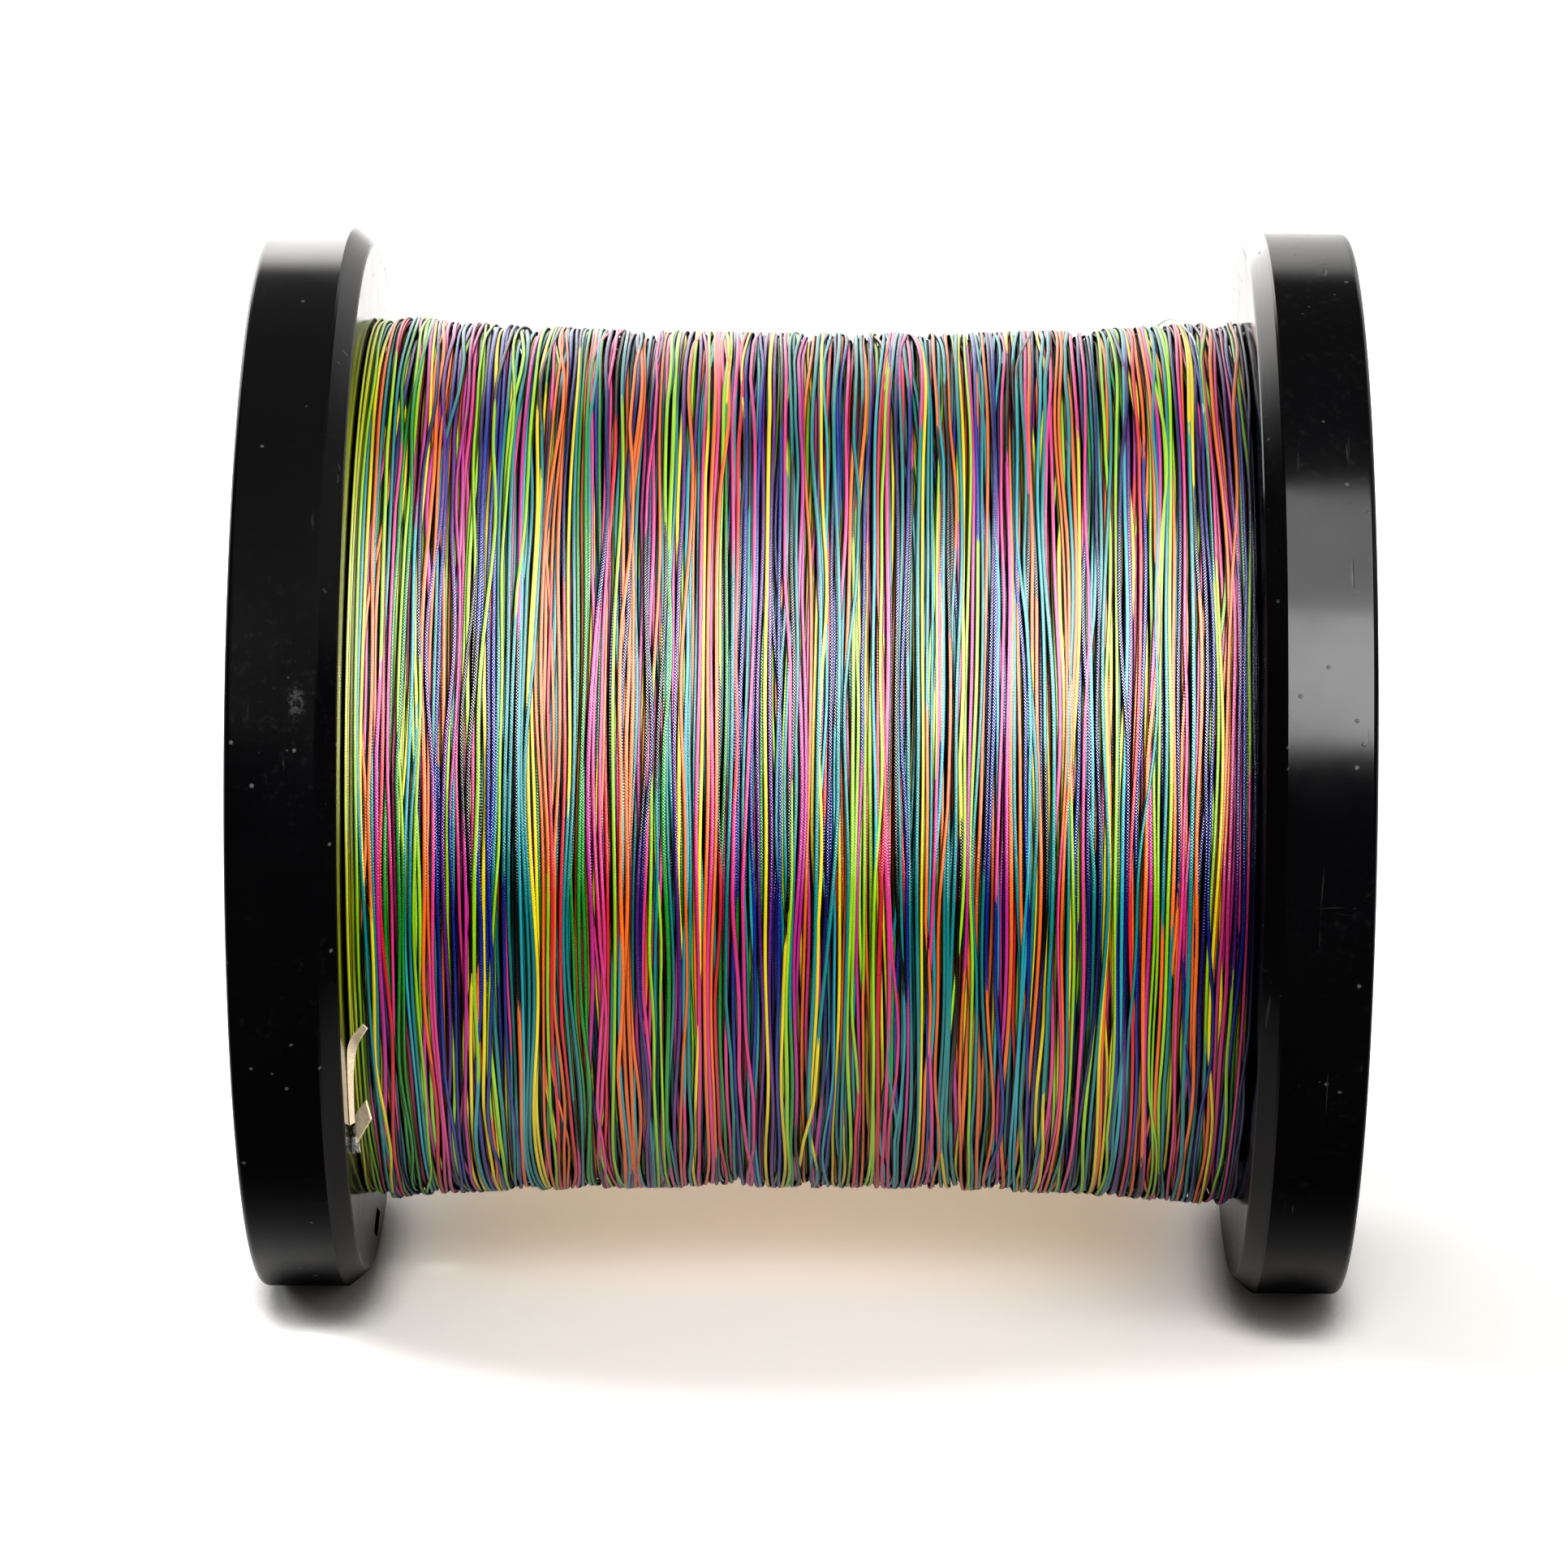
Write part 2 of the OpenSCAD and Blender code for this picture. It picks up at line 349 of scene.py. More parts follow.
def dye_line(x):
    """Colours along the line. Dyed lengths take their length from a log-normal law and their colour from
    DYES, and some meet at a short black mark. Even lengths are kept in one colour layer and odd ones in
    the other, and the mix goes from 0 to 1 and back between them, so each layer changes colour only while
    it is hidden."""
    step = TURN * WOUND_HIGH[2] / PER_TURN * MM
    weights = np.array([share for _, share in DYES], float)
    weights /= weights.sum()
    lengths, colours, last = [], [], -1
    while sum(lengths) < len(x) * step:
        pick = rng.choice(len(DYES), p=weights)
        if pick == last:
            continue
        last = pick
        lengths.append(float(np.clip(rng.lognormal(*DYED_LOG), *DYED_LIMITS)))
        colours.append(DYES[pick][0])
        if rng.random() < MARKED_JOINS:
            lengths.append(rng.uniform(*MARK_LENGTHS))
            colours.append(BLACK_MARK)
    ends = np.cumsum(lengths) / step
    mids = ends - np.array(lengths) / step / 2
    sample = np.arange(len(x))
    shade = rng.uniform(0.86, 1.08, len(colours))[:, None]
    table = to_linear(colours) * shade * DYE_DEPTH
    layers = []
    for parity in (0, 1):
        own = np.arange(parity, len(ends), 2)
        border = mids[np.minimum(own + 1, len(mids) - 1)]
        layers.append(table[own[np.minimum(np.searchsorted(border, sample), len(own) - 1)]])
    segment = np.minimum(np.searchsorted(ends, sample), len(ends) - 1)
    to_next = ends[segment] - sample
    from_last = sample - np.concatenate([[-99], ends])[segment]
    soft_samples = 1.6
    inside = 0.5 + 0.5 * smooth_step(np.minimum(to_next, from_last) / soft_samples)
    mix = np.where(segment % 2 == 0, 1 - inside, inside)
    for side, pair in EDGE_DYES.items():
        near = smooth_step((side * x - HALF_WAY + 1.1) / 0.3)[:, None]
        for layer, colour in zip(layers, pair):
            layer += (to_linear(colour) * DYE_DEPTH - layer) * near
    return layers[0], layers[1], mix


def make_wound_line(material):
    """The outer layers, as tubes of seven-sided section, each about PIECE_TURNS turns long."""
    x, radius = lay_line(guide_path())
    count = len(x)
    drop = SEAM_DROP + 360 * np.arange(count) / PER_TURN
    path = at_drop(drop, radius, x)
    outward = at_drop(drop, 1.0, 0.0)
    line_colour_a, line_colour_b, mix = dye_line(x)
    section = np.radians([-90, -54, -18, 18, 54, 90, 180])
    round_u = np.array([0.25, 0.35, 0.45, 0.55, 0.65, 0.75, 1.0, 1.25])
    knot_samples = 40
    knots = np.arange(count // knot_samples + 3)
    flat = np.interp(np.arange(count) / knot_samples, knots, rng.normal(size=len(knots)))
    flat = 1 + FLATTENING * np.clip(flat, -2, 2)
    points = tube_along(path, outward, LINE_WIDE / 2 * flat, LINE_HIGH / 2 / flat, section)
    along = np.arange(count) * TURN * WOUND_HIGH[2] / PER_TURN * MM
    sides = len(section)
    cut = np.unique(np.append(np.arange(0, count, PIECE_TURNS * PER_TURN), count - 1))
    for number, (first, last) in enumerate(zip(cut[:-1], cut[1:]), 1):
        part = slice(first, last + 1)
        rows = last + 1 - first
        faces, uv, caps = tube_shell(rows, round_u, along[part] - along[first])
        piece = make_piece(f"wound_line_{number}", points[part].reshape(-1, 3), faces, material,
                           node="outer_winding", uv=uv, caps=caps)
        add_line_colours(piece, *(np.repeat(values[part], sides, axis=0) for values in (line_colour_a, line_colour_b, mix)))


# ---------------------------------------------------------------- node trees

class Tree:
    """Adds nodes to a node tree. A value given for a socket is set on it, and another node's socket is
    joined."""

    def __init__(self, tree):
        self.tree = tree
        tree.nodes.clear()

    def add(self, kind, inputs=None, **settings):
        node = self.tree.nodes.new(kind)
        for name, value in settings.items():
            setattr(node, name, value)
        for name, value in (inputs or {}).items():
            socket = node.inputs[name]
            if isinstance(value, bpy.types.NodeSocket):
                self.tree.links.new(value, socket)
            else:
                socket.default_value = value
        return node

    def math(self, operation, *values):
        return self.add("ShaderNodeMath", dict(enumerate(values)), operation=operation).outputs[0]

    def times(self, first, *others):
        """The product of two or more values."""
        for value in others:
            first = self.math("MULTIPLY", first, value)
        return first

    def vector(self, operation, *values, output=0):
        return self.add("ShaderNodeVectorMath", dict(enumerate(values)), operation=operation).outputs[output]

    def place(self):
        return self.add("ShaderNodeTexCoord").outputs["Object"]

    def split(self, vector):
        return self.add("ShaderNodeSeparateXYZ", {"Vector": vector}).outputs

    def bump(self, strength, distance, height, **more):
        inputs = {"Strength": strength, "Distance": distance, "Height": height}
        inputs.update(more)
        return self.add("ShaderNodeBump", inputs).outputs[0]

    def noise(self, vector, scale, detail=2.0, roughness=0.5, **more):
        inputs = {"Vector": vector, "Scale": scale, "Detail": detail, "Roughness": roughness}
        inputs.update(more)
        return self.add("ShaderNodeTexNoise", inputs).outputs["Fac"]

    def stretch(self, vector, scale):
        return self.add("ShaderNodeMapping", {"Vector": vector, "Scale": scale}).outputs[0]

    def remap(self, value, low, high, to_low=0.0, to_high=1.0):
        inputs = {"Value": value, "From Min": low, "From Max": high, "To Min": to_low, "To Max": to_high}
        return self.add("ShaderNodeMapRange", inputs, interpolation_type="SMOOTHSTEP").outputs[0]

    def blend(self, fac, a, b):
        """A colour that is a where fac is 0 and b where it is 1. The colour sockets are numbers 6, 7 and
        2."""
        return self.add("ShaderNodeMix", {0: fac, 6: a, 7: b}, data_type="RGBA").outputs[2]


def new_material(name):
    """A material and its empty node tree."""
    material = bpy.data.materials.new(name)
    material.use_nodes = True
    return material, Tree(material.node_tree)


def finish_material(tree, **inputs):
    """Ends a material with one Principled shader."""
    names = {name.replace("_", " "): value for name, value in inputs.items()}
    shader = tree.add("ShaderNodeBsdfPrincipled", names)
    tree.add("ShaderNodeOutputMaterial", {"Surface": shader.outputs[0]})


def new_group(name, inputs, outputs):
    """An empty node group with named sockets. Each is a (name, kind, default) triple."""
    group = bpy.data.node_groups.new(name, "ShaderNodeTree")
    tree = Tree(group)
    for label, kind, default in inputs:
        socket = group.interface.new_socket(name=label, in_out="INPUT", socket_type="NodeSocket" + kind)
        if default is not None:
            socket.default_value = default
    for label, kind in outputs:
        group.interface.new_socket(name=label, in_out="OUTPUT", socket_type="NodeSocket" + kind)
    return group, tree, tree.add("NodeGroupInput").outputs, tree.add("NodeGroupOutput").inputs


def grey(value):
    """A grey of a linear value."""
    return (value, value, value, 1)


def make_plastic_wear():
    """Dust, scratches and handling marks for moulded plastic, from Object coordinates in metres."""
    inputs = [("Vector", "Vector", None), ("Dust", "Float", 1.0), ("Scratches", "Float", 1.0)]
    outputs = [("Dust", "Float"), ("Marks", "Float"), ("Height", "Float"), ("Cloud", "Float")]
    group, tree, given, out = new_group("plastic_wear", inputs, outputs)
    place = given["Vector"]
    cells = tree.add("ShaderNodeTexVoronoi", {"Vector": place, "Scale": 1300.0}, feature="F1")
    chance = tree.add("ShaderNodeSeparateColor", {"Color": cells.outputs["Color"]}).outputs[0]
    patchy = tree.noise(place, 60.0, 3.0)
    rare = tree.math("GREATER_THAN", chance, tree.remap(patchy, 0.35, 0.7, 0.9985, 0.98))
    specks = tree.times(rare, tree.remap(cells.outputs["Distance"], 0.18, 0.42, 1.0, 0.0))
    film = tree.remap(tree.noise(place, 900.0, 3.0, 0.7), 0.52, 0.8, 0.0, 0.12)
    film = tree.times(film, tree.remap(patchy, 0.4, 0.65))
    dust = tree.times(tree.math("MAXIMUM", specks, film), given["Dust"])
    streaks = tree.noise(tree.stretch(place, (900.0, 60.0, 60.0)), 1.0, 2.0, 0.6, Distortion=0.6)
    cross = tree.noise(tree.stretch(place, (60.0, 700.0, 700.0)), 1.0, 2.0, 0.6, Distortion=0.8)
    fine = tree.math("MAXIMUM", tree.remap(streaks, 0.66, 0.72), tree.remap(cross, 0.68, 0.74))
    where = tree.remap(tree.noise(place, 90.0, 1.0), 0.5, 0.62)
    marks = tree.times(fine, where, given["Scratches"])
    cloud = tree.noise(place, 45.0, 4.0, 0.6)
    height = tree.math("SUBTRACT", dust, marks)
    for label, value in (("Dust", dust), ("Marks", marks), ("Height", height), ("Cloud", cloud)):
        tree.tree.links.new(value, out[label])
    return group


def use_group(tree, group, **inputs):
    """A node that stands for a group, and its outputs."""
    return tree.add("ShaderNodeGroup", inputs, node_tree=group).outputs


def make_flange_plastic(wear):
    """Black moulded plastic: turning rings around the axis, dust, fine scratches, and a rougher scuff on the
    front of the left rim whose pale colour is a painted highlight."""
    material, tree = new_material("black_flange_plastic")
    place = tree.place()
    marks = use_group(tree, wear, Vector=place)
    axes = tree.split(place)
    radius = tree.math("SQRT", tree.math("ADD", tree.times(axes[1], axes[1]), tree.times(axes[2], axes[2])))
    ring_place = tree.add("ShaderNodeCombineXYZ", {0: radius, 1: axes[0]}).outputs[0]
    rings = tree.noise(ring_place, 2600.0, 3.0, 0.6)
    scuff_and_highlight_at = Vector(at_drop(-20.2, FLANGE_R, -55.2)) * MM
    away = tree.stretch(tree.vector("SUBTRACT", place, scuff_and_highlight_at), (760.0, 450.0, 330.0))
    reach = tree.vector("LENGTH", away, output="Value")
    rim_scuff_and_highlight = tree.times(tree.remap(reach, 0.1, 1.0, 1.0, 0.0),
                       tree.remap(tree.noise(place, 1500.0, 3.0, 0.7), 0.42, 0.62))
    colour = tree.blend(marks["Cloud"], (0.0030, 0.0030, 0.0038, 1), (0.0060, 0.0060, 0.0074, 1))
    colour = tree.blend(marks["Dust"], colour, grey(0.09))
    colour = tree.blend(marks["Marks"], colour, grey(0.035))
    # Painted highlight: the rougher scuff patch on the left rim is lightened to a pale grey.
    colour = tree.blend(rim_scuff_and_highlight, colour, grey(0.035))
    face = tree.remap(tree.math("ABSOLUTE", axes[0]), (FACE_X + 0.2) * MM, (FACE_X + 0.6) * MM, 1.0, 0.0)
    rough = tree.math("ADD", tree.remap(marks["Cloud"], 0.3, 0.7, 0.13, 0.22), tree.times(face, -0.08))
    rough = tree.math("ADD", rough, tree.times(tree.math("MAXIMUM", marks["Dust"], rim_scuff_and_highlight), 0.4))
    height = tree.math("ADD", tree.times(rings, 0.25), marks["Height"])
    bump = tree.bump(0.35, 0.00003, height)
    finish_material(tree, Base_Color=colour, Roughness=rough, Normal=bump, IOR=1.46)
    return material


def make_barrel_plastic(wear):
    """Matte black plastic for the two tubes."""
    material, tree = new_material("matte_tube_plastic")
    place = tree.place()
    marks = use_group(tree, wear, Vector=place, Dust=0.4, Scratches=0.6)
    grain = tree.noise(place, 3000.0, 2.0)
    colour = tree.blend(marks["Cloud"], grey(0.014), grey(0.026))
    colour = tree.blend(marks["Dust"], colour, grey(0.15))
    rough = tree.remap(grain, 0.3, 0.7, 0.5, 0.68)
    height = tree.math("ADD", tree.times(grain, 0.5), marks["Height"])
    bump = tree.bump(0.4, 0.00004, height)
    finish_material(tree, Base_Color=colour, Roughness=rough, Normal=bump)
    return material


def make_braid_pattern():
    """Bumps of a round braid from a UV map whose U goes once round the line and V is metres along it. Two
    families of carriers cross, and each is the squared cosine of pi (V / lay plus or minus carriers times U).
    The height is 0.6 of the crossings, the root of the families' product, and 0.4 of the higher family.
    Crease_shade is a mask for painted shade: 1 where the height is low, between the bumps, and 0 on them."""
    inputs = [("UV", "Vector", None), ("Lay", "Float", 0.00036), ("Carriers", "Float", 4.0)]
    group, tree, given, out = new_group("round_braid", inputs, [("Height", "Float"), ("Crease_shade", "Float")])
    axes = tree.split(given["UV"])
    along = tree.math("DIVIDE", axes[1], given["Lay"])
    around = tree.times(axes[0], given["Carriers"])
    families = []
    for way in ("ADD", "SUBTRACT"):
        wave = tree.math("COSINE", tree.times(tree.math(way, along, around), math.pi))
        families.append(tree.times(wave, wave))
    crossing = tree.times(tree.math("SQRT", families[0]), tree.math("SQRT", families[1]))
    height = tree.math("ADD", tree.times(crossing, 0.6), tree.times(tree.math("MAXIMUM", *families), 0.4))
    tree.tree.links.new(height, out["Height"])
    tree.tree.links.new(tree.remap(height, 0.1, 0.55, 1.0, 0.0), out["Crease_shade"])
    return group


def make_braid(pattern):
    """Braided polyethylene line: dyed lengths with feathery joins, a braid's bumps, painted shade on the sides
    of each strand where its neighbours meet it and in the creases between the braid's bumps, and a waxy gloss
    that is strongest on the bumps and left off the shaded sides. The gloss follows a flattened normal: the
    line's own normal plus 1.4 times the direction away from the axle."""
    material, tree = new_material("multicolour_braid")
    uv = tree.add("ShaderNodeUVMap", uv_map="line").outputs[0]
    first = tree.add("ShaderNodeAttribute", attribute_name="line_colour_a").outputs["Color"]
    second = tree.add("ShaderNodeAttribute", attribute_name="line_colour_b").outputs["Color"]
    mix = tree.add("ShaderNodeAttribute", attribute_name="line_colour_mix").outputs["Fac"]
    threads = tree.noise(tree.stretch(uv, (9.0, 260.0, 1.0)), 1.0, 2.0, 0.6)
    feather = tree.math("ADD", mix, tree.remap(threads, 0.25, 0.75, -0.32, 0.32))
    colour = tree.blend(tree.remap(feather, 0.4, 0.6), first, second)
    braid = use_group(tree, pattern, UV=uv)
    uneven = tree.noise(tree.stretch(uv, (2.0, 70.0, 1.0)), 1.0, 3.0, 0.6)
    bright = tree.remap(uneven, 0.3, 0.7, 0.86, 1.12)
    colour = tree.add("ShaderNodeHueSaturation", {"Color": colour, "Value": bright}).outputs[0]
    # Painted shade in the creases between the braid's bumps.
    colour = tree.blend(tree.times(braid["Crease_shade"], 0.25), colour, grey(0.01))
    # Painted shade: the further U is from 0.5, the top of the strand, the nearer its colour goes to black, and
    # the less coat it has.
    around = tree.split(uv)[0]
    off_top = tree.math("ABSOLUTE", tree.math("SUBTRACT", around, 0.5))
    painted_side_shade = tree.remap(off_top, 0.07, 0.2)
    colour = tree.blend(tree.times(painted_side_shade, 0.92), colour, grey(0.002))
    shine = tree.remap(braid["Height"], 0.3, 0.7, 0.3, 1.0)
    coat = tree.times(tree.math("SUBTRACT", 1.0, painted_side_shade), shine)
    rough = tree.remap(uneven, 0.3, 0.7, 0.30, 0.42)
    bump = tree.bump(0.6, 0.00005, braid["Height"])
    axle_out = tree.vector("NORMALIZE", tree.vector("MULTIPLY", tree.place(), (0, 1, 1)))
    own = tree.add("ShaderNodeNewGeometry").outputs["Normal"]
    flat = tree.vector("NORMALIZE", tree.vector("MULTIPLY_ADD", axle_out, (1.4, 1.4, 1.4), own))
    sheen = tree.bump(0.8, 0.00005, braid["Height"], Normal=flat)
    finish_material(tree, Base_Color=colour, Roughness=rough, Specular_IOR_Level=0.1, Normal=bump,
                    Coat_Weight=coat, Coat_IOR=3.6, Coat_Roughness=0.18, Coat_Normal=sheen)
    return material


def make_deep_line():
    """The inner layers, seen only through gaps: rings of line 0.5 mm wide, each of its own hue, painted very
    dark as shade deep under the outer layers, with more painted shade at the edges of each ring and in soft
    patches."""
    material, tree = new_material("shaded_inner_line")
    place = tree.place()
    axes = tree.split(place)
    turns = tree.times(axes[0], 2000.0)
    which = tree.math("FLOOR", turns)
    hue = tree.add("ShaderNodeTexWhiteNoise", {"W": which}, noise_dimensions="1D").outputs["Color"]
    arch = tree.math("SINE", tree.times(tree.math("FRACT", turns), math.pi))
    # Painted shade: each ring's hue goes three quarters of the way to near black, then darker towards the
    # ring's edges and in patches.
    colour = tree.blend(0.75, hue, (0.012, 0.016, 0.02, 1))
    colour = tree.blend(arch, grey(0.0), colour)
    colour = tree.blend(tree.noise(place, 80.0, 3.0), grey(0.0), colour)
    bump = tree.bump(0.8, 0.0002, arch)
    finish_material(tree, Base_Color=colour, Roughness=tree.remap(arch, 0.0, 1.0, 0.7, 0.45),
                    Normal=bump)
    return material


def make_tape():
    """Cream crepe masking tape: fine cross wrinkles with painted shade in their troughs, paper fibre and
    slightly soiled patches.
    """
    material, tree = new_material("crepe_masking_tape")
    place = tree.place()
    wrinkles = tree.noise(tree.stretch(place, (1500.0, 3500.0, 3500.0)), 1.0, 3.0, 0.6)
    fibre = tree.noise(place, 9000.0, 2.0)
    soil = tree.noise(place, 500.0, 3.0, 0.6)
    colour = tree.blend(tree.remap(soil, 0.35, 0.7), (0.87, 0.76, 0.57, 1), (0.76, 0.64, 0.46, 1))
    # Painted shade: the troughs of the wrinkles are darkened towards brown.
    colour = tree.blend(tree.remap(wrinkles, 0.35, 0.65, 0.25, 0.0), colour, (0.45, 0.34, 0.2, 1))
    height = tree.math("ADD", wrinkles, tree.times(fibre, 0.3))
    bump = tree.bump(0.5, 0.00005, height)
    finish_material(tree, Base_Color=colour, Roughness=tree.remap(fibre, 0.3, 0.7, 0.68, 0.86),
                    Normal=bump)
    return material


def make_fibre():
    """Loose fibres: pale grey, darker in streaks where some dye is left."""
    material, tree = new_material("frayed_fibre")
    place = tree.place()
    streaks = tree.noise(place, 2200.0, 2.0)
    colour = tree.blend(tree.remap(streaks, 0.4, 0.65), (0.82, 0.83, 0.82, 1), (0.25, 0.25, 0.24, 1))
    bump = tree.bump(0.3, 0.00002, streaks)
    finish_material(tree, Base_Color=colour, Roughness=tree.remap(streaks, 0.3, 0.7, 0.45, 0.6),
                    Normal=bump)
    return material


# How bright the camera sees the white floor; the reach in metres, the range and the tone of the painted
# contact shadows
FLOOR_GAIN = 1.48
CONTACT_REACH = 0.007
CONTACT_RANGE = (0.35, 0.95)
CONTACT_TONE = 0.30


def make_floor_white():
    """White card. The camera sees it with painted soft contact shadows, a painted warm bounce of light under
    the line, and painted extra brightness far behind. Mirror images of its front part are painted dark, as if
    the table ended there; between the flanges that dark part starts a little farther forward."""
    material, tree = new_material("white_floor")
    place = tree.place()
    rays = tree.add("ShaderNodeLightPath").outputs
    axes = tree.split(place)
    between = tree.remap(tree.math("ABSOLUTE", axes[0]), 0.045, 0.055, 0.030, 0.0)
    front = tree.remap(tree.math("ADD", axes[1], between), -0.055, -0.02, 1.0, 0.0)
    plain = tree.blend(tree.noise(place, 3.0), grey(0.84), grey(0.86))
    # Painted contact shadows from an ambient occlusion node, for the camera and for mirror images.
    open_sky = tree.add("ShaderNodeAmbientOcclusion", {"Distance": CONTACT_REACH}, samples=8).outputs["AO"]
    # Painted extra brightness farther behind the spool.
    seen = tree.blend(tree.remap(axes[1], 0.06, 0.5), grey(FLOOR_GAIN), grey(1.5 * FLOOR_GAIN))
    # Painted warm bounce light under the line, between the flanges.
    bounce = tree.times(tree.remap(tree.math("ABSOLUTE", axes[0]), 0.035, 0.055, 1.0, 0.0),
                        tree.remap(axes[1], -0.025, 0.015), tree.remap(axes[1], 0.05, 0.09, 1.0, 0.0))
    seen = tree.blend(bounce, seen, (0.96 * FLOOR_GAIN, 0.84 * FLOOR_GAIN, 0.70 * FLOOR_GAIN, 1))
    open_sky = tree.remap(open_sky, *CONTACT_RANGE)
    seen = tree.blend(open_sky, grey(CONTACT_TONE), seen)
    # Painted reflection: mirror images of the floor are dimmer near the spool, brighter behind it, darkened by
    # the painted contact shadows, and nearly black in front.
    mirrored = tree.blend(tree.remap(axes[1], 0.02, 0.08), grey(0.8), grey(FLOOR_GAIN))
    mirrored = tree.blend(open_sky, grey(0.03), mirrored)
    tone = tree.blend(rays["Is Glossy Ray"], plain, tree.blend(front, mirrored, grey(0.008)))
    tone = tree.blend(rays["Is Camera Ray"], tone, seen)
    shader = tree.add("ShaderNodeBsdfDiffuse", {"Color": tone})
    tree.add("ShaderNodeOutputMaterial", {"Surface": shader.outputs[0]})
    return material


# ---------------------------------------------------------------- small pieces

def ribbon(name, middle, across, half_wide, thick, material, node=None):
    """A strip of paper: a grid of its middle line's points plus s times the across direction, given a
    thickness along its own normals on both sides and closed all round. middle (n, 3), across (n, 3),
    half_wide (n)."""
    s = np.linspace(-1, 1, 7)
    sheet = middle[:, None, :] + s[None, :, None] * (np.reshape(half_wide, (-1, 1)) * across)[:, None, :]
    along_way = np.gradient(sheet, axis=0)
    across_way = np.gradient(sheet, axis=1)
    normal = np.cross(along_way, across_way)
    normal /= np.linalg.norm(normal, axis=2, keepdims=True)
    rows, columns = sheet.shape[:2]
    ring = np.concatenate([sheet + normal * thick / 2, (sheet - normal * thick / 2)[:, ::-1]], axis=1)
    faces = grid_faces(rows, 2 * columns, close_columns=True)[:, ::-1]
    first = np.arange(columns - 1)
    last = (rows - 1) * 2 * columns
    caps_low = np.stack([first, first + 1, 2 * columns - 2 - first, 2 * columns - 1 - first], axis=1)
    caps_high = (last + caps_low)[:, ::-1]
    faces = np.concatenate([faces, caps_low, caps_high])
    return make_piece(name, ring.reshape(-1, 3), faces, material, node=node, smooth=False)


def curve_through(points, count):
    """A smooth curve through a few points: a cubic between each two, whose slope at a point is half the
    step from the point before to the point after (Catmull-Rom)."""
    points = np.asarray(points, float)
    padded = np.concatenate([2 * points[:1] - points[1:2], points, 2 * points[-1:] - points[-2:-1]])
    t = np.linspace(0, len(points) - 1, count)
    block = np.minimum(t.astype(int), len(points) - 2)
    f = (t - block)[:, None]
    a, b, c, d = (padded[block + k] for k in range(4))
    square, cube = 2 * a - 5 * b + 4 * c - d, 3 * b - a - 3 * c + d
    return 0.5 * (2 * b + (c - a) * f + square * f ** 2 + cube * f ** 3)


def round_line(name, path, outward, half, material, node=None, sides=10):
    """A closed round tube. Its U stays within 0.08 of 0.5, the top of a strand, so that the line's painted
    side shade stays almost off it, because it has no neighbours to shade its sides, and V is metres along it."""
    section = np.linspace(-TURN / 2, TURN / 2, sides, endpoint=False)
    points = tube_along(path, outward, half, half, section)
    round_u = 0.5 + 0.16 * (np.arange(sides + 1) / sides - 0.5)
    run = np.concatenate([[0], np.cumsum(np.linalg.norm(np.diff(path, axis=0), axis=1))]) * MM
    faces, uv, caps = tube_shell(len(path), round_u, run)
    return make_piece(name, points.reshape(-1, 3), faces, material, node, uv, caps)


def paint_line(piece, first, second):
    """Gives a short piece of line two colours, the second one towards its far end: two dyes on the stalk, and
    on the stray loop a painted highlight that fades into its dye.
    """
    mix = np.linspace(0, 1, len(piece.data.vertices))
    add_line_colours(piece, to_linear(first) * DYE_DEPTH, to_linear(second) * DYE_DEPTH, mix)


def make_end_tape(tape):
    """The folded tape: a narrow strip that runs down the flange and curls away from it at its upper end,
    and a flap that goes back up from the fold at its lower end. A row holds the drop, radius and x of the
    middle, half the width, and the turn of the width from outwards towards +x, in degrees. The flap's
    width also leans down from outwards by 40 degrees."""
    paper = 0.22
    strip = [(18.7, 54.6, -48.6, 0.46, 35), (20.4, 54.4, -49.55, 0.56, 50), (21.9, 54.3, -50.1, 0.54, 80),
             (23.6, 54.3, -50.36, 0.48, 110), (26.2, 54.5, -50.55, 0.42, 125),
             (29.0, 54.8, -50.60, 0.38, 128), (31.5, 55.2, -50.62, 0.36, 128), (33.7, 55.4, -50.62, 0.36, 128)]
    flap = [(36.9, 54.4, -50.44, 1.25, 10), (36.1, 54.3, -50.22, 1.25, 14), (35.0, 54.2, -49.75, 1.20, 16),
            (33.9, 54.1, -49.25, 1.15, 16), (32.8, 54.1, -48.75, 1.10, 16)]
    for name, rows, lean in (("tape_strip", strip, 0), ("tape_flap", flap, 40)):
        drop, radius, x, half_wide, turn = curve_through(rows, 40).T
        middle = at_drop(drop, radius, x)
        across = np.cos(np.radians(turn))[:, None] * at_drop(drop + lean, 1.0, 0.0)
        across[:, 0] += np.sin(np.radians(turn))
        ribbon(name, middle, across, half_wide, paper, tape, "end_tape")


